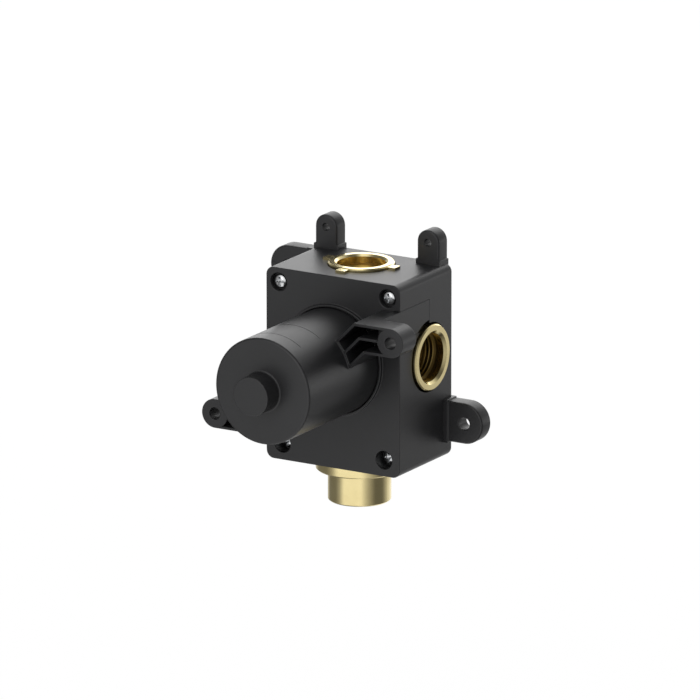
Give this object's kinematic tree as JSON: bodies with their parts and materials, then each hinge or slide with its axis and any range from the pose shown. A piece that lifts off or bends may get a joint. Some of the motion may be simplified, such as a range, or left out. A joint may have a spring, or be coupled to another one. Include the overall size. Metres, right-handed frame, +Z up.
{
  "type": "shower diverter valve",
  "caption": "Concealed in-wall shower diverter valve: black moulded wall box with ears, brass threaded ports, ceramic cartridge and a removable spindle guard.",
  "frame": {"origin": "on the cartridge axis, in the plane of the box's back face", "axes": "+Z up, +X to the right seen from the room, +Y into the wall; the spindle points along -Y"},
  "size_m": [0.1047, 0.1107, 0.1177],
  "materials": {
    "black_plastic": "satin moulded",
    "brass": "turned and machined",
    "screw_steel": "bright zinc plated",
    "black_rubber": "matt",
    "white_plastic": "matt moulded",
    "ceramic": "lapped ceramic"
  },
  "bodies": {
    "box": {"rear_box": "black_plastic", "front_cover": "black_plastic", "valve_body": "brass", "top_outlet": "brass", "side_outlet": "brass", "inlet_adaptor": "brass", "bonnet_nut": "brass", "cover_screws": "screw_steel", "port_o_rings": "black_rubber", "base_seals": "black_rubber", "cartridge_o_ring": "black_rubber", "cartridge_base": "white_plastic", "cartridge_housing": "white_plastic", "fixed_disc": "ceramic"},
    "spindle": {"spindle": "brass", "moving_disc": "ceramic", "disc_driver": "white_plastic", "spindle_o_rings": "black_rubber", "spindle_circlip": "screw_steel", "thrust_washer": "white_plastic"},
    "guard": {"guard": "black_plastic"}
  },
  "joints": [
    {"name": "spindle_turn", "type": "hinge", "parent": "box", "child": "spindle", "pos_m": [0, -0.06, 0], "axis": [0, -1, 0], "range_deg": [0, 90]},
    {"name": "guard_pull", "type": "slide", "parent": "box", "child": "guard", "axis": [0, -1, 0], "range_m": [0, 0.06]}
  ]
}
